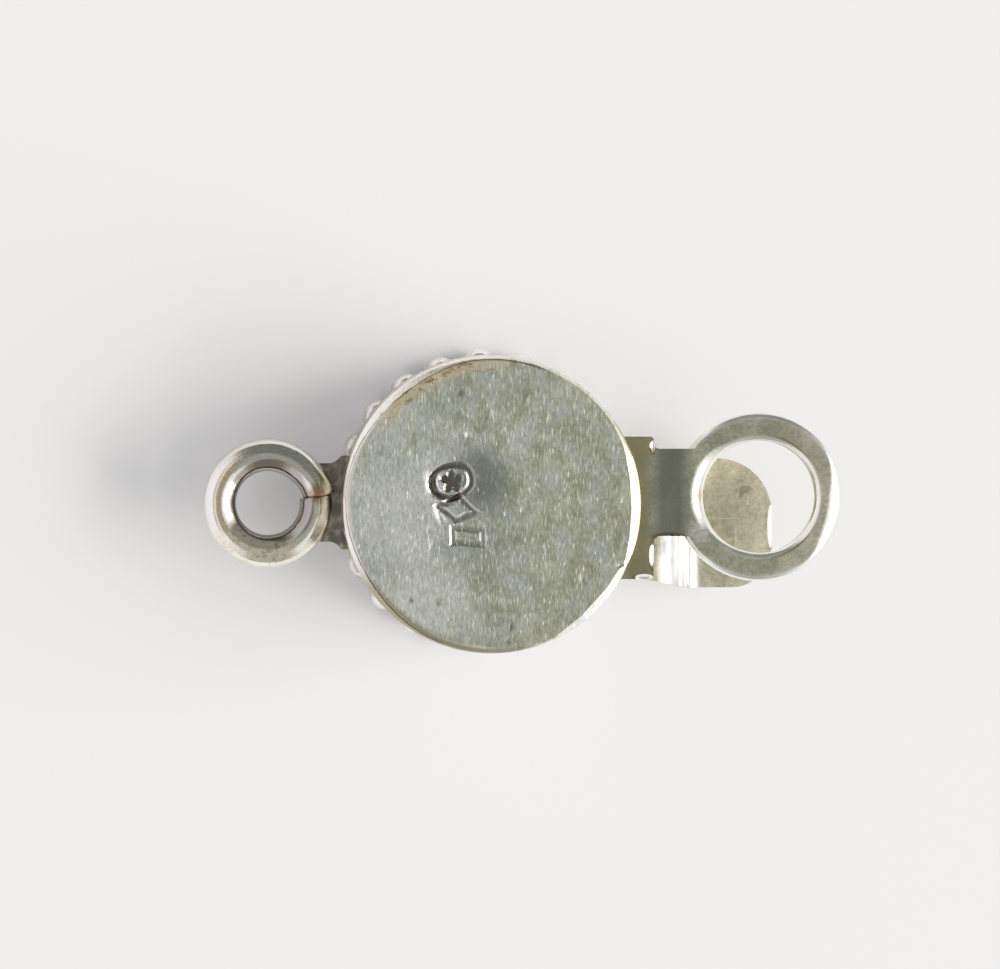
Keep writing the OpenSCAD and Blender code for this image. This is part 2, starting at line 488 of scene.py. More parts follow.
# Struck marks: the shape of each, its place from the middle of the plate, half its length and
# width, its turn and how hard it was struck
MARKS = table(
    "reach x y long wide turn force",
    (flower_reach, -1.34, 0.80, 0.54, 0.68, 20, 1.0),
    (lozenge_reach, -1.16, -0.14, 0.40, 0.60, -8, 0.8),
    (bar_reach, -0.80, -1.04, 0.24, 0.50, -4, 0.45),
)
# Corners of the place that they take, and the petals of the flower
MARKS_LOW, MARKS_HIGH = (-2.1, -1.7), (-0.1, 1.6)
PETALS = 5
STROKE = 0.095
STROKE_DEPTH = 0.085


def struck(x, y):
    """How deep a place is struck, as a share of a stroke's depth; the burr beside is below 0."""
    found = 0
    for mark in MARKS:
        # The punch was held by hand, so its lines shake a little
        u = x - mark.x + 0.02 * math.sin(7 * y + 1)
        v = y - mark.y + 0.015 * math.sin(8 * x)
        s = mark.reach(*turned(u, v, mark.turn), mark) / STROKE
        # It leaned to the left, so its marks are deepest there
        lean = 0.75 - 0.35 * (x - mark.x)
        found += mark.force * lean * (math.exp(-(s ** 4)) - 0.14 * math.exp(-((s - 1.6) / 0.4) ** 2))
    return found


def turn_of(x, y):
    """Direction from the middle of the plate, in degrees from the rim's first one up."""
    first = RIM[0].turn
    return (math.degrees(math.atan2(y, x)) - first) % 360 + first


def rim_width(x, y):
    turn = turn_of(x, y)
    for a, b in zip(RIM, RIM[1:]):
        if turn <= b.turn:
            return a.wide + (b.wide - a.wide) * smooth_step((turn - a.turn) / (b.turn - a.turn))
    return RIM[-1].wide


def rim_place(x, y):
    """How far a place lies inside the solder line; the rim is below 0."""
    return BOX_R - math.hypot(x, y) - rim_width(x, y)


def solder_line(x, y):
    """1 on the thin dark line between the plate and its rim, and 0 away from it."""
    shown = smooth_step((2.2 - x) / 1.5)
    return shown * math.exp(-(rim_place(x, y) / LINE_W) ** 2)


def within(value, low, high, soft):
    """1 between two values and 0 well outside them."""
    return smooth_step((value - low) / soft + 0.5) * smooth_step((high - value) / soft + 0.5)


def tarnish(p):
    """The brown band inside the solder line, from the top round to the upper left."""
    x, y = p.x - MID_X, p.y
    return within(turn_of(x, y), 86, 142, 14) * within(rim_place(x, y), -0.1, 0.36, 0.34)


def shade(p):
    """Painted shade: the olive band inside the solder line, from the left round to the bottom, for
    the shade at the plate's edge.
    """
    x, y = p.x - MID_X, p.y
    wide = 0.11 + 0.20 * within(turn_of(x, y), 222, 262, 24)
    return within(turn_of(x, y), 205, 285, 24) * smooth_step(1 - rim_place(x, y) / wide)


def plate_depth(x, y):
    """How far the back plate is pressed in at a place, measured from its middle."""
    deep = STROKE_DEPTH * struck(x, y)
    # The punch also pushed the sheet in around its marks
    deep += 0.035 * math.exp(-((x + 0.6) ** 2 + (y - 0.1) ** 2) / 1.3)
    # The sheet was hammered flat by hand and still rises and falls a little
    deep += 0.006 * math.sin(1.7 * x + 0.6) * math.sin(1.3 * y - 0.9)
    deep = max(0, deep) * smooth_step((BOX_R - 0.25 - math.hypot(x, y)) / 0.5)
    deep += sum(knock.deep * knock_share(x, y, knock) for knock in KNOCKS)
    rim = max(0, -rim_place(x, y)) / rim_width(x, y)
    return deep + LINE_DEPTH * solder_line(x, y) + RIM_DROP * rim


def knock_share(x, y, knock):
    """1 in the middle of a knock, going to 0 around it."""
    across, along = turned(x - knock.x, y - knock.y, knock.turn)
    return math.exp(-(across / knock.wide) ** 2 - (along / knock.long) ** 2)


def plate_dirt(p):
    """Dirt in the strokes, the solder line and some of the knocks."""
    x, y = p.x - MID_X, p.y
    if p.z < BOX_TOP - 0.2:
        return 0
    dirt = max(1.1 * struck(x, y), 0.9 * solder_line(x, y))
    dirt += sum(knock.dirt * knock_share(x, y, knock) for knock in KNOCKS)
    return min(1, max(0, dirt))


def near_marks(face):
    p = face.calc_center_median()
    (left, low), (right, high) = MARKS_LOW, MARKS_HIGH
    return p.z > BOX_TOP - HAIR and left < p.x - MID_X < right and low < p.y < high


def near_knock(face):
    p = face.calc_center_median()
    return p.z > BOX_TOP - HAIR and not near_marks(face) and any(
        knock_share(p.x - MID_X, p.y, knock) > KNOCK_ENDS for knock in KNOCKS
    )


def back_sheet():
    """The round back plate with its rounded edge, filed flats and struck marks."""
    plate = drum("back_plate_sheet", BOX_R, BACK_LOW.z, BOX_TOP)
    wide_rings = int((BOX_R - EDGE_R - RIM_RINGS * RIM_RING) / PLATE_RING) - 1
    with editing(plate):
        pick(plate, "edges", lambda e: abs(e.verts[0].co.z - e.verts[1].co.z) < HAIR)
        bpy.ops.mesh.bevel(offset=EDGE_R, segments=4)
        pick(plate, "faces", lambda f: all(v.co.z > BOX_TOP - HAIR for v in f.verts))
        for ring in [RIM_RING] * RIM_RINGS + [PLATE_RING] * wide_rings:
            bpy.ops.mesh.inset(thickness=ring, depth=0)
        bpy.ops.mesh.poke()
    with editing(plate):
        for near in (near_marks, near_knock):
            pick(plate, "faces", near)
            bpy.ops.mesh.subdivide(number_cuts=3)
    # The whole upper half moves, most at the top, so the rounded edge goes down with the rim
    middle = (BACK_LOW.z + BOX_TOP) / 2
    sculpt(plate, lambda p: (
        0, 0, -plate_depth(p.x - MID_X, p.y) * max(0, (p.z - middle) / (BOX_TOP - middle))
    ))
    for flat in FILED:
        place = Vector((MID_X, 0, BOX_TOP)) + heading(flat.turn) * flat.reach
        with editing(plate):
            cut(plate, place, heading(flat.turn, 90 - flat.tilt), drop=True, fill=True)
    paint(plate, "dirt", plate_dirt)
    paint(plate, "tarnish", tarnish)
    paint(plate, "shade", shade)
    return plate


def plate_finish():
    """The back: brushed up and down, flecked, bluish to the left and olive to the right, with painted
    light over its left half, a painted reflection on its left rim and painted shade in an olive band
    at its lower left.
    """
    f = Finish("plate_silver_brushed")
    cloud = f.noise(1.6, detail=4, distortion=0.4)
    mottle = f.noise((0.5, 0.8, 0.8), turn=8, shift=(2, 5, 0))
    grain = f.noise((0.07, 0.17, 0.17), turn=6)
    streak = f.noise((0.045, 0.34, 0.34), detail=2, turn=7, distortion=0.3)
    worn = f.step(streak, 0.54, 0.72)
    side = f.along("X", MID_X - 4.5, MID_X + 2.0)
    f.tone = f.mix(side, (0.74, 0.77, 0.71), (0.65, 0.67, 0.53))
    f.lay((0.76, 0.78, 0.63), f.step(cloud, 0.42, 0.62), 0.5)
    f.lay((0.76, 0.78, 0.75), f.step(mottle, 0.50, 0.64), 0.7)
    f.lay((0.52, 0.53, 0.39), f.step(mottle, 0.48, 0.34), 0.7)
    # Painted light over the left half and the lower left, and a darker middle
    f.lay((1.0, 1.02, 0.95), f.near(MID_X - 2.5, -0.2, 2.8, 0.6), 0.9)
    f.lay((1.0, 1.01, 0.92), f.near(MID_X - 2.3, -3.0, 2.0, 0.5), 0.8)
    f.lay((0.44, 0.46, 0.41), f.near(MID_X - 0.8, -0.85, 2.3, 0.6), 0.5)
    f.darken(grain, 0.71)
    f.lay((0.98, 1.0, 0.92), worn, 0.52)
    # The dark patch beside the marks
    patch = f.near(MID_X - 0.42, 0.90, 1.65, 0.3)
    f.lay((0.22, 0.24, 0.23), patch, 0.85, f.step(cloud, 0.25, 0.5, (0.7, 1)))
    # Painted reflection: the rim is laid paler and warmer towards the left, where it mirrors the
    # bright left wall
    rim = f.near(MID_X, 0, BOX_R - 0.28, BOX_R - 0.20)
    f.lay((1.0, 0.95, 0.84), rim, f.along("X", MID_X + 1.0, MID_X - 1.5))
    blotch = f.noise((0.34, 0.18, 0.18), detail=4, turn=-30, shift=(1, 4, 0))
    brown = f.mix(f.step(blotch, 0.50, 0.66), (0.80, 0.68, 0.48), (0.38, 0.28, 0.17))
    f.lay(brown, f.painted("tarnish"), f.step(blotch, 0.26, 0.52))
    # Painted shade: the olive band at the lower left
    f.lay((0.26, 0.24, 0.15), f.painted("shade"), 0.92)
    bright = f.flecks((0.09, 0.36, 0.36), 0.08, turn=9)
    dull = f.flecks((0.16, 0.24, 0.24), 0.07, turn=-14, shift=(3, 1, 0))
    f.lay((0.34, 0.32, 0.24), dull, 0.4)
    f.lay((1.0, 1.0, 0.97), bright, 0.3)
    # Brown solder on the plate's edge over the slot
    f.lay(
        BROWN,
        f.near(MID_X, 0, BOX_R - 0.07, BOX_R - 0.03),
        f.along("Z", BOX_TOP - 0.38, BOX_TOP - 0.26),
        f.along("X", MID_X + 4, MID_X + 4.3),
    )
    f.lay((0.10, 0.085, 0.06), f.painted("dirt"))
    # Fine scratches scatter the light, so the worn streaks are rougher and look paler
    rough = f.sum(f.step(cloud, 0.3, 0.7, (0.27, 0.33)), f.times(worn, 0.13))
    rough = f.sum(rough, f.times(bright, 0.26))
    height = f.sum(f.times(streak, 0.004), f.times(grain, 0.005))
    height = f.sum(height, f.times(bright, -0.002))
    return f.finished(rough, f.sum(height, f.times(dull, -0.004)))


# Side band and front plate

DOME_R = 4.0
DOME_H = 0.9
GRANULE_R = 0.6
# How much wider a granule is at its foot, and the least it measures of full size
GRANULE_FOOT, GRANULE_LEAST = 1.25, 0.92
GRANULE_INSET = 0.4
GRANULE_SHIFT = 0.12
GRANULE_COUNT = 22
GRANULE_PHASE = 10.2

# The fold, the blade and the stem, for which the band has a slot and a notch
FOLD = joint_place("leaf_press")
FOLD_R = 0.12
FOLD_OUTER_R = FOLD_R + TONGUE_T
BLADE_W = 4.8
BLADE_Y = -0.12
STEM_W = 2.8
STEM_Y = -0.5
PLAY = 0.1
SLOT_Z = FOLD.z - FOLD_OUTER_R - PLAY - 0.02
NOTCH_Z = 2.21


def band_wall():
    """The side band, with the slot for the tongue and the notch for the stem."""
    band = drum("side_band_wall", BOX_R, BAND_LOW.z, BAND_HIGH.z, ends="NOTHING")
    modify(band, "SOLIDIFY", thickness=WALL_T, offset=-1)
    wall = MID_X + BOX_R
    for y, half, low, high in (
        (BLADE_Y, BLADE_W / 2 + PLAY, SLOT_Z, CUT_HIGH),
        (STEM_Y, STEM_W / 2 + PLAY, NOTCH_Z, SLOT_Z + PLAY),
    ):
        carve(band, block((wall - CUT_PAST, y - half, low), (wall + CUT_PAST, y + half, high)))
    soften(band, 0.03)
    return band


def dome_height(r):
    """Height of the dome's outside at a distance from its middle."""
    ball = (DOME_R ** 2 + DOME_H ** 2) / (2 * DOME_H)
    return FRONT_HIGH.z - WALL_T - DOME_H + ball - math.sqrt(ball ** 2 - r ** 2)


def dome_sheet():
    """The front plate with its dome, which stands hollow behind the flat rim."""
    bpy.ops.mesh.primitive_circle_add(
        vertices=SIDES, radius=BOX_R, fill_type="NGON",
        location=(MID_X, 0, FRONT_HIGH.z - WALL_T / 2),
    )
    dome = fresh("front_dome_sheet")
    dome_step = 0.2
    with editing(dome):
        pick(dome, "faces", lambda f: True)
        bpy.ops.mesh.inset(thickness=BOX_R - DOME_R - dome_step)
        bpy.ops.mesh.inset(thickness=dome_step)
        r = DOME_R
        while r > 2 * dome_step:
            bpy.ops.mesh.inset(thickness=dome_step)
            drop = dome_height(r - dome_step) - dome_height(r)
            bpy.ops.transform.translate(value=(0, 0, drop))
            r -= dome_step
        bpy.ops.mesh.poke()
    modify(dome, "SOLIDIFY", thickness=WALL_T, offset=0, use_even_offset=True)
    weld(dome)
    soften(dome, 0.05, angle=50)
    return dome


def granule_border():
    """The border of granules, each a little unlike the next."""
    draw = random.Random(7)
    bpy.ops.mesh.primitive_uv_sphere_add(segments=32, ring_count=20, radius=GRANULE_R)
    model = fresh("granule")
    with editing(model):
        # Each is wider where it is soldered to the plate
        pick(model, "verts", lambda v: v.co.z > GRANULE_R * 0.8)
        bpy.ops.transform.resize(value=(GRANULE_FOOT, GRANULE_FOOT, 1))
    middle = Vector((MID_X - GRANULE_SHIFT, 0, GRANULE_R))
    granules = []
    for i in range(GRANULE_COUNT):
        granule = model.copy()
        granule.data = model.data.copy()
        bpy.context.collection.objects.link(granule)
        size = draw.uniform(GRANULE_LEAST, 1)
        granule.scale = (size, size * draw.uniform(0.95, 1), 1)
        granule.rotation_euler = (0, 0, draw.uniform(0, math.tau))
        reach = BOX_R - GRANULE_INSET - draw.uniform(-0.03, 0.03)
        granule.location = middle + heading(GRANULE_PHASE + i * 360 / GRANULE_COUNT) * reach
        granules.append(granule)
    bpy.data.objects.remove(model)
    return joined("granule_border", granules)


def case_finish():
    """Band and front plate: polished by wear, darker at the band's top edge and at its foot."""
    f = Finish("case_silver_worn")
    cloud = f.noise(1.1, detail=5, distortion=0.6)
    mottle = f.noise((0.5, 0.5, 0.3), detail=4, shift=(3, 1, 2))
    # 1 on the band and the front plate's flat rim, 0 on its dome
    above = f.along("Z", FRONT_HIGH.z - WALL_T - 0.3, FRONT_HIGH.z - WALL_T)
    # The band is brushed round, and the dome below it is only burnished
    hair = f.sum(f.times(f.sum(f.noise((1.6, 1.6, 0.035), detail=2), -0.5), above), 0.5)
    f.tone = f.mix(f.step(cloud, 0.40, 0.62), (0.62, 0.60, 0.49), (0.76, 0.76, 0.69))
    f.lay((0.44, 0.38, 0.26), f.step(mottle, 0.50, 0.66), 0.6)
    f.darken(hair, 0.74)
    f.lay((0.86, 0.87, 0.84), f.step(mottle, 0.40, 0.30), 0.5)
    # Darker at the band's top edge, and at its foot over the front plate's flat rim
    f.lay(DARK, f.along("Z", BAND_HIGH.z - 0.22, BAND_HIGH.z), 0.8)
    f.lay(DARK, f.along("Z", BAND_LOW.z + 0.35, BAND_LOW.z - 0.05), above, 0.8)
    rough = f.sum(f.step(cloud, 0.3, 0.7, (0.20, 0.34)), f.step(hair, 0.5, 0.7, (0, 0.08)))
    return f.finished(rough, f.sum(f.times(hair, 0.003), f.times(mottle, 0.008)))


def granule_finish():
    """Granules: bright outside, dark where they meet each other and the plate, as painted shade with
    some dirt.
    """
    f = Finish("case_silver_granules")
    cloud = f.noise(0.6)
    grain = f.noise((0.05, 0.2, 0.2), detail=2, turn=-12)
    f.tone = f.mix(f.step(cloud, 0.45, 0.65), (0.98, 0.94, 0.92), (0.76, 0.71, 0.62))
    f.darken(grain, 0.78)
    ring_r = BOX_R - GRANULE_INSET
    inner = f.near(MID_X - GRANULE_SHIFT, 0, ring_r - 0.05, ring_r - 0.4)
    gap = f.step(f.between(GRANULE_COUNT, GRANULE_PHASE), 0.68, 0.92)
    under = f.along("Z", FRONT_LOW.z + 1.8 * GRANULE_R, FRONT_LOW.z + 1.95 * GRANULE_R)
    # Painted shade, with some dirt, in the gaps, on the inner side and where the granules meet the
    # plate
    f.lay(DARK, f.sum(f.sum(inner, gap, "MAXIMUM"), under, "MAXIMUM"), 0.85)
    rough = f.step(cloud, 0.3, 0.7, (0.18, 0.32))
    return f.finished(rough, f.sum(f.times(cloud, 0.03), f.times(grain, 0.006)))


# Box ring and its tab

WIRE_R = 0.55
WIRE_RING_OUTER = (WIRE_HIGH.y - WIRE_LOW.y) / 2
WIRE_RING_R = WIRE_RING_OUTER - WIRE_R
WIRE_RING_X = WIRE_LOW.x + WIRE_RING_OUTER
WIRE_RING_Z = WIRE_HIGH.z - WIRE_R
WIRE_MIDDLE = Vector((WIRE_RING_X, 0, WIRE_RING_Z))
# Direction of the seam from the ring's middle, and how far each end stands off it, in degrees
SEAM_ANGLE, SEAM_GAP = 9, 0.25
# How far the upper end is bent off the lower one
SEAM_LIFT = (0.12, -0.02, 0.05)
# Flats worn by the loops: how far outside the wire's middle each begins, or inside if it is
# less than 0, its tilt, its direction from the ring's middle, and half the turn it takes
WIRE_WEAR = table("begins tilt turn wide", (-0.09, 32, 180, 48), (0.17, 36, -33, 26))
# Degrees over which a flat fades out at each end
WEAR_FADE = 18
TAB_W = 2.65
TAB_T = 0.5
# How far the wire sinks into the tab, the gap between the tab and the band, and how far
# inside the wire's middle the tab begins
TAB_SINK, TAB_GAP, TAB_IN = 0.12, 0.02, 0.2
# The fillets' width, and how far they run out from the band and from the ring
FILLET, FILLET_BAND, FILLET_RING = 0.26, 0.4, 0.3


def by_end(p, end, reach=HAIR):
    """Whether a point of the wire is on its cut end in that direction, or less than reach past."""
    from_middle = p - WIRE_MIDDLE
    past = from_middle.dot(Vector((-end.y, end.x, 0)))
    return -HAIR < past < reach and from_middle.dot(end) > 0


def wire_wear(p):
    """How far the wire's upper side is worn down to its flats."""
    if p.z < WIRE_RING_Z:
        return (0, 0, 0)
    x, y = p.x - WIRE_RING_X, p.y
    outside, turn = math.hypot(x, y) - WIRE_RING_R, math.degrees(math.atan2(y, x))
    deep = 0
    for flat in WIRE_WEAR:
        beyond = (outside - flat.begins) * math.copysign(1, flat.begins)
        away = apart(turn, flat.turn)
        if beyond > 0 and away < flat.wide:
            top = WIRE_RING_Z + math.sqrt(WIRE_R ** 2 - flat.begins ** 2)
            level = top - beyond * math.tan(math.radians(flat.tilt))
            deep += max(0, p.z - level) * smooth_step((flat.wide - away) / WEAR_FADE)
    return (0, 0, -deep)


def wire_ring():
    """A round wire bent to a ring, whose upper end stands a little proud at the seam."""
    upper, lower = heading(SEAM_ANGLE + SEAM_GAP), heading(SEAM_ANGLE - SEAM_GAP)
    bpy.ops.mesh.primitive_circle_add(
        vertices=32, radius=WIRE_R, fill_type="NGON", location=WIRE_MIDDLE + upper * WIRE_RING_R,
        rotation=(math.pi / 2, 0, math.radians(SEAM_ANGLE + SEAM_GAP)),
    )
    ring = fresh("box_ring_wire")
    with editing(ring):
        bpy.ops.mesh.select_all(action="SELECT")
        bpy.ops.mesh.spin(
            steps=112, angle=math.radians(360 - 2 * SEAM_GAP), center=WIRE_MIDDLE, axis=(0, 0, -1)
        )
    weld(ring)
    with editing(ring):
        pick(ring, "edges", lambda e: any(
            all(by_end(v.co, end) for v in e.verts) for end in (upper, lower)
        ))
        bpy.ops.mesh.bevel(offset=0.09, segments=3)
        pick(ring, "verts", lambda v: by_end(v.co, upper, 0.12))
        bpy.ops.transform.translate(
            value=SEAM_LIFT, use_proportional_edit=True, use_proportional_connected=True,
            proportional_edit_falloff="SMOOTH", proportional_size=1.0,
        )
    sculpt(ring, wire_wear)
    return ring


def ring_tab():
    """The flat tab between the ring and the band, melted soft, with fillets of solder."""
    top = WIRE_RING_Z - WIRE_R + TAB_SINK
    reach = BOX_R + TAB_GAP
    wall, outer = MID_X - reach, WIRE_RING_X + WIRE_RING_R - TAB_IN
    tab = block((outer, -TAB_W / 2, top - TAB_T), (MID_X, TAB_W / 2, top))
    tab.name = tab.data.name = "box_ring_tab"
    step = 0.06
    with editing(tab):
        slices(tab, "X", [outer + step * i for i in range(1, math.ceil((wall + 0.1 - outer) / step))])

    def fillet(p):
        near = max(0, 1 - (wall - p.x) / FILLET_BAND, 1 - (p.x - outer) / FILLET_RING)
        return (0, math.copysign(FILLET * min(1, near) ** 2, p.y), 0)

    sculpt(tab, fillet)
    carve(tab, drum("cutter", reach, CUT_LOW, CUT_HIGH))
    soften(tab, 0.12, segments=3)
    return tab


def wire_finish():
    """Box ring: worn bright, with painted reflections on its far left and lower left and painted
    shade over its upper side and inside; ochre on its lower left, brown at the seam and over the tab.
    """
    f = Finish("wire_silver_worn")
    cloud = f.noise(0.55, detail=4)
    grain = f.noise(0.09)
    out = f.reach(WIRE_RING_X, 0)
    f.tone = f.mix(f.step(cloud, 0.35, 0.65), (0.80, 0.80, 0.74), WARM)
    # Painted reflection: paler at the far left, where the wire mirrors the bright left wall
    f.lay((0.98, 0.93, 0.88), f.along("X", WIRE_RING_X - 1.4, WIRE_RING_X - 1.9))
    # A tan band on the left half, with a thin brown line on its outer side
    beside = f.along("X", WIRE_RING_X - 0.3, WIRE_RING_X - 1.2)
    f.lay((0.74, 0.60, 0.40), f.step(f.off(out, WIRE_RING_R + 0.085), 0.14, 0.09), 0.75, beside)
    f.lay(BROWN, f.step(f.off(out, WIRE_RING_R + 0.215), 0.045, 0.02), 0.7, beside)
    # Painted shade: darker over the ring's upper side
    f.lay((0.60, 0.60, 0.55), f.along("Y", 0.9, 1.5), 0.5)
    # Painted light: the lower left is laid paler, and ochre tarnish and brown spots lie over it
    low = f.near(WIRE_RING_X - 0.5, -1.6, 1.65, 0.8)
    f.lay((1.0, 0.95, 0.80), low)
    f.lay((0.66, 0.55, 0.34), low, f.step(f.sum(cloud, f.times(grain, 0.5)), 0.70, 0.92), 0.8)
    f.lay(BROWN, low, f.step(f.noise((0.22, 0.14, 0.2), turn=20), 0.54, 0.64), 0.45)
    f.darken(grain, 0.86)
    seam = f.near(WIRE_RING_X + 1.6, 0.35, 0.55, 0.15)
    f.lay(BROWN, seam, f.step(cloud, 0.35, 0.6, (0.3, 0.9)))
    # Painted shade, with some tarnish, on the inside, wider at the top; painted shade again over the
    # inner lower right
    inside = f.near(WIRE_RING_X + 0.07, 0.04, WIRE_RING_R - 0.27, WIRE_RING_R - 0.35)
    high = f.near(WIRE_RING_X + 0.05, 0.16, WIRE_RING_R - 0.23, WIRE_RING_R - 0.33)
    inside = f.sum(inside, f.times(high, f.along("Y", 0.3, 0.9)), "MAXIMUM")
    f.lay((0.24, 0.21, 0.19), inside, 0.8)
    f.lay((0.27, 0.255, 0.225), f.near(WIRE_RING_X + 0.42, -0.17, 1.20, 1.04), 0.92)
    rough = f.step(cloud, 0.3, 0.7, (0.08, 0.20))
    return f.finished(rough, f.sum(f.times(grain, 0.003), f.times(cloud, 0.012)))


def tab_finish():
    """The tab under the ring: painted shade, dark grey-brown, for the shadow under the ring and the
    box.
    """
    f = Finish("wire_silver_tab")
    cloud = f.noise(0.35, detail=4)
    # Painted shade: laid dark, for the shadow under the ring and the box
    f.tone = f.mix(f.step(cloud, 0.4, 0.7), (0.20, 0.19, 0.16), (0.50, 0.46, 0.37))
    return f.finished(f.step(cloud, 0.3, 0.7, (0.3, 0.5)), f.times(cloud, 0.03))


# Tongue

BLADE_TOP = FOLD.z + FOLD_OUTER_R
BLADE_MID = BLADE_TOP - TONGUE_T / 2
SHOULDER_X = 4.395
NECK_W = 2.95
NECK_Y = 0.4
NECK_DISH = 0.05
# Radii of the crooks beside the neck and of the shoulder's corners
CROOK_R, CORNER_R = 0.22, 0.12
RING_OUTER = (TONGUE_HIGH.y - TONGUE_LOW.y) / 2
RING_HOLE = 1.88
# The middle of the ring's band, and how far inside it the dark line on the right side runs
RING_MID = (RING_OUTER + RING_HOLE) / 2
RING_LINE = 0.26
RING_H = 0.9
RING_ROUND = 0.18
RING_X = TONGUE_HIGH.x - RING_OUTER
RING_Y = (TONGUE_HIGH.y + TONGUE_LOW.y) / 2
RING_Z = TONGUE_HIGH.z - RING_H / 2
# The neck ends inside the ring's band, and its face lies a little under the ring's
NECK_END = RING_X - 1.6
FLUSH = 0.003
# Places where the ring's face is worn round: the edge each starts from, 1 if it is the outer
# one, how far in it reaches, how steeply and how bent it falls, the direction of its middle,
# and how wide it is at its full depth and over how many degrees it fades
RING_WEAR = table(
    "edge side wide steep bend turn full fade",
    (RING_OUTER, 1, 0.52, 0.56, 1.6, -11, 1.15, 50),
    (RING_HOLE, -1, 0.46, 0.62, 1.6, 171, 1.2, 72),
    (RING_HOLE, -1, 0.26, 0.6, 1.2, 0, 1.3, 80),
)
# Worn places on the shoulder's edges: middle, direction in which each falls, tilt, and half
# its width and length
SHOULDER_WORN = table(
    "x y towards tilt wide long",
    (SHOULDER_X - 0.04, -1.73, 0, 42, 0.15, 0.40),
    (SHOULDER_X - 0.32, -2.46, -90, 56, 0.20, 0.31),
    (SHOULDER_X - 0.04, 1.95, 0, 42, 0.12, 0.21),
)
# How deep such a place is worn
WORN_DEPTH = 0.09


def wear_away(piece, spot, z):
    """Wears a shallow oval place into an edge."""
    bpy.ops.mesh.primitive_uv_sphere_add(
        segments=48, ring_count=24, radius=1, location=(spot.x, spot.y, z),
        rotation=(0, math.radians(spot.tilt), math.radians(spot.towards)),
    )
    bpy.context.active_object.scale = (spot.wide, spot.long, WORN_DEPTH)
    carve(piece, fresh("cutter"))


def worn_size(spot):
    """Half the size of a worn place along X and along Y, as seen from above."""
    across = spot.wide * math.cos(math.radians(spot.tilt))
    return (across, spot.long) if spot.towards == 0 else (spot.long, across)


def neck_dish(p):
    """The neck sags a little between its edges and rises until it is flush with the ring."""
    along = smooth_step((p.x - SHOULDER_X) / 0.4)
    across = max(0, 1 - ((p.y - NECK_Y) / (NECK_W / 2)) ** 2)
    risen = smooth_step((p.x - SHOULDER_X - 0.1) / 0.6)
    rise = RING_Z + RING_H / 2 - FLUSH - BLADE_TOP
    return (0, 0, rise * risen - NECK_DISH * along * across * (1 - risen))


def tongue_blade():
    """One strip of sheet: hairpin fold, blade, shoulder and the dished neck."""
    low, high = sides(BLADE_Y, BLADE_W)
    neck = sides(NECK_Y, NECK_W)
    rows, strips = 12, 8
    step = (NECK_END - SHOULDER_X) / rows

    def at_shoulder(v, places):
        return abs(v.co.x - SHOULDER_X) < HAIR and any(abs(v.co.y - y) < HAIR for y in places)

    blade = sheet("tongue_blade", (FOLD.x, low), (SHOULDER_X, high), BLADE_MID)
    with editing(blade):
        slices(blade, "Y", neck)
        slices(blade, "X", [SHOULDER_X - 0.35 * i for i in range(1, 5)])
        pick(blade, "edges", lambda e: all(abs(v.co.x - FOLD.x) < HAIR for v in e.verts))
        bpy.ops.mesh.spin(steps=18, angle=math.pi, center=FOLD, axis=(0, 1, 0))
        pick(blade, "edges", lambda e: all(at_shoulder(v, neck) for v in e.verts))
        for _ in range(rows):
            bpy.ops.mesh.extrude_region_move(TRANSFORM_OT_translate={"value": (step, 0, 0)})
        round_corners(blade, CROOK_R, 4, lambda v: at_shoulder(v, neck))
        round_corners(blade, CORNER_R, 3, lambda v: at_shoulder(v, (low, high)))
    weld(blade)
    with editing(blade):
        slices(
            blade, "Y", [neck[0] + NECK_W * i / strips for i in range(1, strips)],
            where=lambda f: f.calc_center_median().x > SHOULDER_X,
        )
    sculpt(blade, neck_dish)
    modify(blade, "SOLIDIFY", thickness=TONGUE_T, offset=0, use_even_offset=True)
    weld(blade)
    # The neck ends in the ring, along the middle of its band
    carve(blade, drum("cutter", RING_MID, CUT_LOW, CUT_HIGH, place=(RING_X, RING_Y)))
    soften(blade, 0.12, segments=5, angle=50)
    for spot in SHOULDER_WORN:
        wear_away(blade, spot, BLADE_TOP - 0.04)
    return blade


def ring_wear(p):
    """How far the ring's upper face is worn down: outside at the right, inside at the left."""
    dx, dy = p.x - RING_X, p.y - RING_Y
    r, turn = math.hypot(dx, dy), math.degrees(math.atan2(dy, dx))
    deep = 0
    for worn in RING_WEAR:
        # The worn places reach far round, but hardly touch the face where they end
        wide = worn.wide * smooth_step(worn.full - apart(turn, worn.turn) / worn.fade)
        if wide > 0:
            beyond = (r - worn.edge) * worn.side
            deep += worn.steep * wide * max(0, beyond / wide + 1) ** worn.bend
    return deep


def tongue_ring():
    """The large ring: a thick band, flat above, with rounded edges and worn places."""
    bpy.ops.mesh.primitive_plane_add(
        size=1, location=(RING_X + RING_MID, RING_Y, RING_Z), rotation=(math.pi / 2, 0, 0)
    )
    bpy.context.active_object.scale = (RING_OUTER - RING_HOLE, RING_H, 1)
    ring = fresh("tongue_ring_band")
    with editing(ring):
        round_corners(ring, RING_ROUND, 6, lambda v: True)
        pick(ring, "edges", lambda e: all(v.co.z > RING_Z + RING_H / 2 - HAIR for v in e.verts))
        bpy.ops.mesh.subdivide(number_cuts=9)
        bpy.ops.mesh.select_all(action="SELECT")
        bpy.ops.mesh.spin(
            steps=176, angle=math.tau, center=(RING_X, RING_Y, RING_Z), axis=(0, 0, 1),
            use_auto_merge=False,
        )
        pick(ring, "faces", lambda f: len(f.verts) > 4)
        bpy.ops.mesh.delete(type="FACE")
    weld(ring)
    sculpt(ring, lambda p: (0, 0, -ring_wear(p) * smooth_step((p.z - RING_Z) / (0.4 * RING_H))))
    return ring


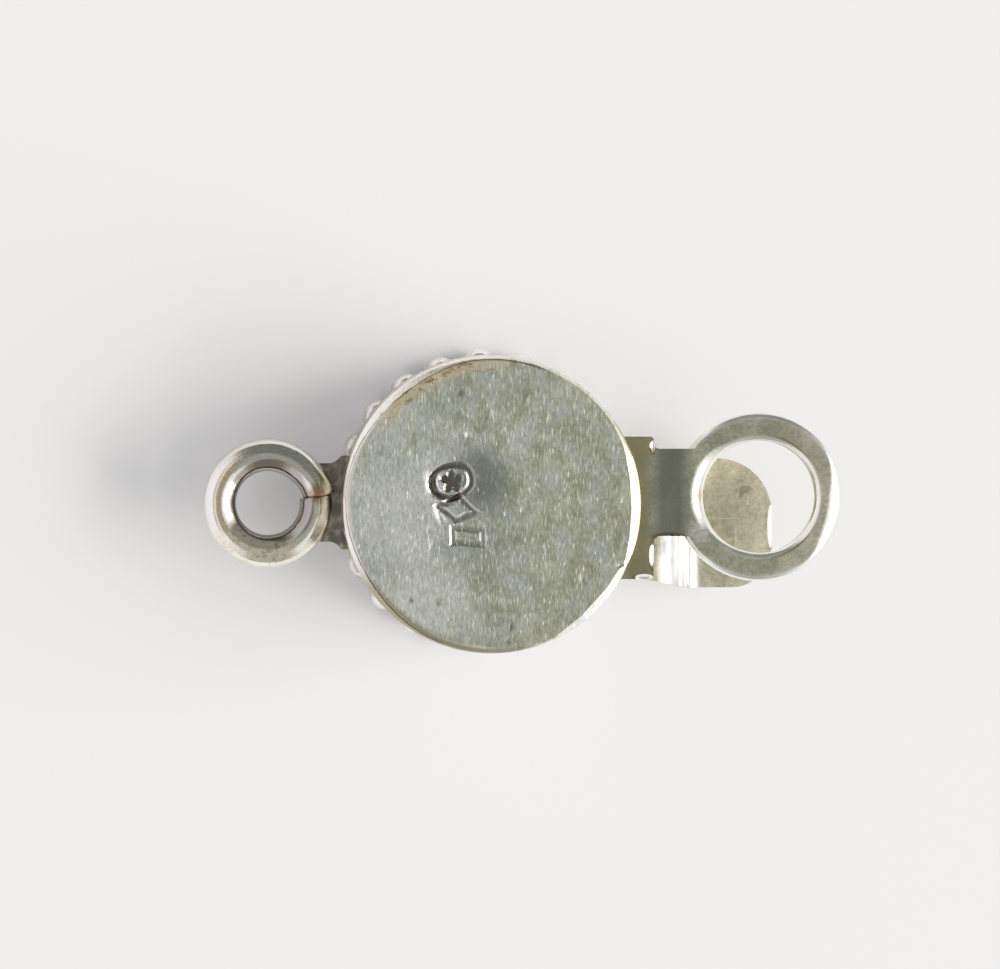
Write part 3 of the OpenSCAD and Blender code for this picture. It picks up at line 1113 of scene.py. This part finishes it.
def tongue_finish():
    """Blade, neck and large ring: satin, greenish grey, with a warmer shoulder and painted shade over
    the dished neck.
    """
    f = Finish("tongue_silver_satin")
    cloud = f.noise(0.9, detail=4)
    grain = f.noise(0.10)
    f.tone = f.mix(f.step(cloud, 0.35, 0.7), (0.56, 0.57, 0.44), (0.68, 0.67, 0.55))
    low_right = f.near(RING_X + 1.6, RING_Y - 1.6, 2.4, 0.6)
    f.lay((0.84, 0.78, 0.62), low_right, f.step(cloud, 0.4, 0.6, (0.2, 0.9)))
    high_right = f.near(RING_X + 1.7, RING_Y + 1.7, 1.8, 0.5)
    f.lay((0.66, 0.56, 0.42), high_right, f.step(grain, 0.4, 0.6, (0.2, 0.8)))
    # The ring is laid paler all over its right side and at its lower left
    f.lay((1.0, 0.95, 0.84), f.along("X", RING_X + 0.2, RING_X + 1.9), 0.34)
    f.lay((1.0, 0.97, 0.90), f.near(RING_X - 1.95, RING_Y - 1.15, 0.65, 0.15), 0.75)
    f.darken(grain, 0.76)
    # The blade slides, so it is rubbed bright along its length, and warm only where it shows
    slid = f.noise((0.9, 0.05, 0.3), detail=2)
    rubbed = f.mix(f.step(slid, 0.35, 0.65), (0.50, 0.48, 0.39), (0.70, 0.69, 0.61))
    rubbed = f.mix(f.step(cloud, 0.45, 0.60, (0, 0.6)), rubbed, (0.42, 0.37, 0.27))
    f.lay(rubbed, f.along("X", SHOULDER_X - 0.2, SHOULDER_X - 0.9))
    f.lay(
        (0.37, 0.34, 0.21),
        f.along("X", SHOULDER_X + 0.15, SHOULDER_X - 0.35),
        f.along("X", SHOULDER_X - 1.5, SHOULDER_X - 0.7),
        0.85,
    )
    # Painted shade: the dished neck is laid dark, for the dark it mirrors
    neck = f.times(
        f.along("X", SHOULDER_X - 0.3, SHOULDER_X + 0.4),
        f.along("X", SHOULDER_X + 1.35, SHOULDER_X + 0.80),
        f.step(f.off(f.axis("Y"), NECK_Y), NECK_W / 2 + 0.25, NECK_W / 2 - 0.1),
    )
    f.lay((0.25, 0.25, 0.215), neck, 0.85)
    # Brown solder where the neck meets the ring
    f.lay(BROWN, f.near(RING_X - 1.98, 0.3, 0.3, 0.1))
    out = f.reach(RING_X, RING_Y)
    f.lay(PALE, f.step(f.off(out, RING_MID), 0.20, 0.40), f.along("X", RING_X - 2.1, RING_X - 1.7))
    line = f.step(f.off(out, RING_MID - RING_LINE), 0.05, 0.02)
    f.lay(BROWN, line, f.along("X", RING_X + 0.1, RING_X + 0.9), 0.7)
    # Darker where the neck's lower side meets the ring
    crook = (SHOULDER_X + 0.5, NECK_Y - NECK_W / 2 - 0.02)
    f.lay((0.17, 0.13, 0.09), f.near(*crook, 1.0, 0.5, size=(0.75, 0.2)), 0.85)
    for spot in SHOULDER_WORN:
        reach = f.reach(spot.x, spot.y, worn_size(spot))
        f.lay(BROWN, f.step(reach, 0.85, 1.05), f.step(reach, 1.6, 1.2), 0.7)
        f.lay(PALE, f.step(reach, 1.05, 0.85))
    rough = f.sum(f.step(cloud, 0.3, 0.7, (0.17, 0.28)), f.times(neck, -0.04))
    return f.finished(rough, f.sum(f.times(grain, 0.004), f.times(cloud, 0.010)))


# Spring leaf and thumb press

LEAF_SLOPE = math.radians(7)
# The catch shoulders are cut round, straight across each of these directions, in degrees
CATCH_R = 4.48
CATCH_TURNS = range(8, 38, 4)
STEM_END = PRESS_LOW.x + 0.794
PRESS_INNER_R = BOX_R + 0.12
# Radii of the press's far corners, at its upper and its lower side
PRESS_CORNERS = (1.9, 1.4)
# On its way back from the first place to the second, the press's lower side slants in by FLARE
FLARE_X, FLARE_END_X = 5.625, MID_X + PRESS_INNER_R * 0.86
FLARE = 0.23
BEND_OUT_X = 4.75
BEND_FLAT_X = 5.81
# Creases that the pliers left across the press's bend
CREASES = table(
    "x wide deep dirt", (5.24, 0.14, 0.035, 0), (5.46, 0.045, 0.02, 0.7), (5.62, 0.05, 0.035, 0.7)
)
# Scratches on the press: middle, half width and half length
SCRATCHES = table(
    "x y wide long",
    (7.72, 0.0, 0.05, 0.20), (7.15, -0.57, 0.45, 0.025),
    (7.31, -1.15, 0.03, 0.52), (6.75, -1.75, 0.03, 0.35),
)
# The worn outer edge of the press, in the same terms as the shoulder's
PRESS_WORN = table("x y towards tilt wide long", (PRESS_HIGH.x - 0.03, -0.85, 0, 36, 0.17, 0.75))[0]


def leaf_height(x):
    """Height of the leaf's middle sheet at a place along the clasp."""
    root = FOLD.z - (FOLD_OUTER_R - LEAF_T / 2) / math.cos(LEAF_SLOPE)
    return root - (x - FOLD.x) * math.tan(LEAF_SLOPE)


def leaf_sheet():
    """The springy leaf: as wide as the blade up to its catch shoulders, then the stem."""
    low, high = sides(BLADE_Y, BLADE_W)
    leaf = sheet("spring_leaf_sheet", (LEAF_LOW.x + 0.02, low), (STEM_END, high))
    with editing(leaf):
        slices(leaf, "Y", sides(STEM_Y, STEM_W))
        for side in (-1, 1):
            def beside(face):
                return (face.calc_center_median().y - STEM_Y) * side > STEM_W / 2

            pick(leaf, "faces", beside)
            bpy.ops.mesh.split()
            for angle in CATCH_TURNS:
                way = heading(side * angle)
                cut(leaf, Vector((MID_X, 0, 0)) + way * CATCH_R, way, drop=True, where=beside)
    weld(leaf)
    sculpt(leaf, lambda p: (0, 0, leaf_height(p.x)))
    modify(leaf, "SOLIDIFY", thickness=LEAF_T, offset=0)
    soften(leaf, 0.05, angle=50)
    return leaf


def blended(a, b, reach):
    """The lower of two heights, with a round turn from one to the other."""
    near = max(reach - abs(a - b), 0) / reach
    return min(a, b) - near * near * reach / 4


def press_height(x):
    """Height of the press's middle sheet: along the leaf, steeply down, then flat."""
    flat = PRESS_LOW.z + LEAF_T / 2
    start = leaf_height(BEND_OUT_X)
    fall = (flat - start) / (BEND_FLAT_X - BEND_OUT_X)
    down = start + (x - BEND_OUT_X) * fall
    height = -blended(-blended(leaf_height(x), down, 0.22), -flat, 0.3)
    for crease in CREASES:
        height -= crease.deep * math.exp(-((x - crease.x) / crease.wide) ** 2)
    return height


def press_sheet():
    """The thumb press, bent down from the stem and rounded at its far corners."""
    far, low, high = PRESS_HIGH.x, PRESS_LOW.y, PRESS_HIGH.y
    press = sheet("thumb_press_plate", (STEM_END, low), (far, high))
    with editing(press):
        for y, r in zip((high, low), PRESS_CORNERS):
            corner = Vector((far, y, 0))
            round_corners(press, r, 16, lambda v: (v.co - corner).length < HAIR)
        slant = Vector((-FLARE, FLARE_END_X - FLARE_X, 0))
        cut(press, (FLARE_X, low, 0), slant, drop=True)
        fine, coarse = 0.04, 0.3
        x = STEM_END + fine
        while x < far - 0.1:
            slices(press, "X", [x])
            x += fine if x < BEND_FLAT_X + 0.3 else coarse
    weld(press)
    sculpt(press, lambda p: (0, 0, press_height(p.x)))
    modify(press, "SOLIDIFY", thickness=LEAF_T, offset=0)
    for side in (1, -1):
        cutter = drum("cutter", PRESS_INNER_R, CUT_LOW, CUT_HIGH)
        with editing(cutter):
            edge = STEM_Y + side * STEM_W / 2
            cut(cutter, (0, edge, 0), (0, -side, 0), drop=True, fill=True)
        carve(press, cutter)
    weld(press)
    soften(press, 0.06, segments=3, angle=50)
    wear_away(press, PRESS_WORN, PRESS_LOW.z + LEAF_T - 0.02)
    return press


def press_finish():
    """Spring leaf and thumb press: warm satin with fine scratches; the steep bend is glossier, with a
    painted lavender reflection tint.
    """
    f = Finish("press_silver_satin")
    cloud = f.noise(0.7, detail=4, distortion=0.5)
    grain = f.noise(0.10)
    cross = f.noise((0.9, 0.04, 0.9), detail=1, turn=3)
    pulled = f.noise((0.05, 0.7, 0.7), detail=2, turn=-2)
    f.tone = f.mix(f.step(cloud, 0.40, 0.62), (0.82, 0.76, 0.58), (0.54, 0.53, 0.40))
    f.lay((1.0, 0.88, 0.66), f.along("Y", -0.6, 0.7), f.step(cloud, 0.3, 0.6, (0.5, 0.95)))
    smudge = f.near(PRESS_HIGH.x - 0.85, 0.30, 1.0, 0.2, size=(0.75, 1.1))
    f.lay((0.30, 0.32, 0.26), smudge, f.step(cloud, 0.46, 0.58, (0.1, 0.8)))
    f.darken(grain, 0.74)
    for x, y, wide, long in SCRATCHES:
        f.lay((1.0, 0.98, 0.88), f.near(x, y, 1.0, 0.3, size=(wide, long)), 0.6)
    steep = f.times(
        f.along("X", BEND_OUT_X - 0.05, BEND_OUT_X + 0.1),
        f.along("X", BEND_FLAT_X + 0.1, BEND_FLAT_X - 0.1),
    )
    # Painted reflection: a lavender-grey tint, streaked along the pull, on the steep bend
    pale = f.mix(f.step(pulled, 0.40, 0.60), (0.40, 0.388, 0.425), (0.56, 0.547, 0.565))
    f.lay(pale, steep, 0.95)
    for crease in CREASES:
        f.lay(BROWN, f.step(f.off(f.axis("X"), crease.x), 0.05, 0.015), crease.dirt)
    rough = f.sum(f.step(cloud, 0.3, 0.7, (0.30, 0.42)), f.times(steep, -0.18))
    height = f.sum(f.times(grain, 0.005), f.times(cross, 0.002))
    height = f.sum(height, f.times(pulled, steep, 0.003))
    return f.finished(rough, f.sum(height, f.times(cloud, 0.01)))


# Floor, light and camera

# The floor's size, and the window's reach and size, are metres
FLOOR_SIZE = 1.6
FLOOR_TONE = (0.88, 0.88, 0.87, 1)

WINDOW_WATTS = 15.5
WINDOW_TONE = (1.0, 0.97, 0.91)
WINDOW_TURN = -8
WINDOW_RISE = 22
WINDOW_REACH = 0.8
WINDOW_SIZE = (0.7, 0.5)

ROOM_TONE = (0.40, 0.41, 0.38)
# The room's walls: the direction of the middle of each, half its width, how far off the zenith
# it begins, all in degrees, and its tone
WALLS = table(
    "turn wide begins tone",
    (184, 58, 30, (1.27, 1.23, 1.34)),
    (-14, 46, 27, (1.18, 1.14, 1.13)),
    (74, 44, 12, (0.22, 0.23, 0.22)),
)
WALL_SOFT = 13

# The photographed frame at the height of the back plate: its middle and its width
VIEW_X, VIEW_Y = -0.805, 0.69
VIEW_WIDTH = 33.56
# The camera leans this far left and up for each unit of height
LEAN_LEFT, LEAN_UP = 0.0293, 0.0293
CAMERA_REACH = 320
SENSOR = 36

# The picture's tones: the light that reaches the camera and how bright it is shown
GRADE = table("light shown", (0.55, 0.55), (0.9, 0.76), (1.3, 0.87), (2.2, 1.0))
GRADE_WHITE = 2.5


def studio():
    """A pale floor, a wide window light from the right and a soft room with a dark ceiling."""
    bpy.ops.mesh.primitive_plane_add(size=FLOOR_SIZE, location=(0, 0, 0))
    floor = bpy.context.active_object
    floor.name = "floor"
    paper = bpy.data.materials.new("floor_paper")
    paper.use_nodes = True
    surface = paper.node_tree.nodes["Principled BSDF"]
    surface.inputs["Base Color"].default_value = FLOOR_TONE
    surface.inputs["Roughness"].default_value = 0.9
    floor.data.materials.append(paper)

    window = bpy.data.lights.new("window", "AREA")
    window.shape = "RECTANGLE"
    window.size, window.size_y = WINDOW_SIZE
    window.energy = WINDOW_WATTS
    window.color = WINDOW_TONE
    lamp = bpy.data.objects.new("window", window)
    lamp.visible_camera = False
    bpy.context.collection.objects.link(lamp)
    towards = heading(WINDOW_TURN, WINDOW_RISE)
    lamp.location = towards * WINDOW_REACH
    lamp.rotation_euler = towards.to_track_quat("Z", "Y").to_euler()
    room()


def room():
    """The room's light: pale walls left and right, a dark one beyond and a dark ceiling."""
    world = bpy.data.worlds.new("room")
    bpy.context.scene.world = world
    world.use_nodes = True
    nodes = Nodes(world.node_tree)

    def vector(operation, *inputs):
        made = nodes.node("ShaderNodeVectorMath", dict(enumerate(inputs)), operation=operation)
        return made.outputs["Value" if operation == "DOT_PRODUCT" else "Vector"]

    def cone(way, middle, none, full):
        """0 at one angle between a way and a direction, and 1 at the other."""
        none, full = math.cos(math.radians(none)), math.cos(math.radians(full))
        return nodes.step(vector("DOT_PRODUCT", way, middle), none, full)

    way = nodes.node("ShaderNodeTexCoord").outputs["Generated"]
    level = vector("NORMALIZE", vector("MULTIPLY", way, (1, 1, 0)))
    tone = ROOM_TONE
    soft = WALL_SOFT / 2
    for wall in WALLS:
        share = nodes.times(
            cone(level, heading(wall.turn), wall.wide + WALL_SOFT, wall.wide - WALL_SOFT),
            cone(way, (0, 0, 1), wall.begins - soft, wall.begins + soft),
        )
        tone = nodes.mix(share, tone, wall.tone)
    background = nodes.tree.nodes["Background"]
    nodes.tree.links.new(tone, background.inputs["Color"])
    background.inputs["Strength"].default_value = 1


def camera():
    """The camera, nearly straight above the back plate."""
    lens = bpy.data.cameras.new("camera")
    lens.sensor_width = SENSOR
    lens.lens = SENSOR * CAMERA_REACH / VIEW_WIDTH
    lens.clip_start, lens.clip_end = 0.01, 10
    eye = bpy.data.objects.new("camera", lens)
    bpy.context.collection.objects.link(eye)
    back = Vector((-LEAN_LEFT, LEAN_UP, 1)).normalized()
    side = Vector((0, 1, 0)).cross(back).normalized()
    turn = Matrix((side, back.cross(side), back)).transposed()
    aim = Vector((VIEW_X, VIEW_Y, BOX_TOP))
    eye.matrix_world = Matrix.Translation((aim + back * CAMERA_REACH) / METRE) @ turn.to_4x4()
    bpy.context.scene.camera = eye


def grade():
    """Shows the middle tones as they are and presses the light ones, so the floor isn't glaring."""
    view = bpy.context.scene.view_settings
    view.view_transform = "Standard"
    view.use_curve_mapping = True
    view.curve_mapping.white_level = (GRADE_WHITE, GRADE_WHITE, GRADE_WHITE)
    tones = view.curve_mapping.curves[3]
    for light, shown in GRADE:
        tones.points.new(light / GRADE_WHITE, shown)
    for point in tones.points:
        point.handle_type = "AUTO_CLAMPED"
    view.curve_mapping.extend = "HORIZONTAL"
    view.curve_mapping.update()


camera()
studio()
grade()

CASE = case_finish()
TONGUE = tongue_finish()
PRESS = press_finish()

settle(back_sheet(), "case", "back_plate", plate_finish(), smooth=24)
settle(band_wall(), "case", "side_band", CASE)
settle(dome_sheet(), "case", "front_plate", CASE)
settle(granule_border(), "case", "front_plate", granule_finish())
settle(wire_ring(), "case", "box_ring", wire_finish())
settle(ring_tab(), "case", "box_ring", tab_finish())
settle(tongue_blade(), "tongue", "tongue", TONGUE)
settle(tongue_ring(), "tongue", "tongue", TONGUE)
settle(leaf_sheet(), "leaf", "spring_leaf", PRESS)
settle(press_sheet(), "leaf", "thumb_press", PRESS)
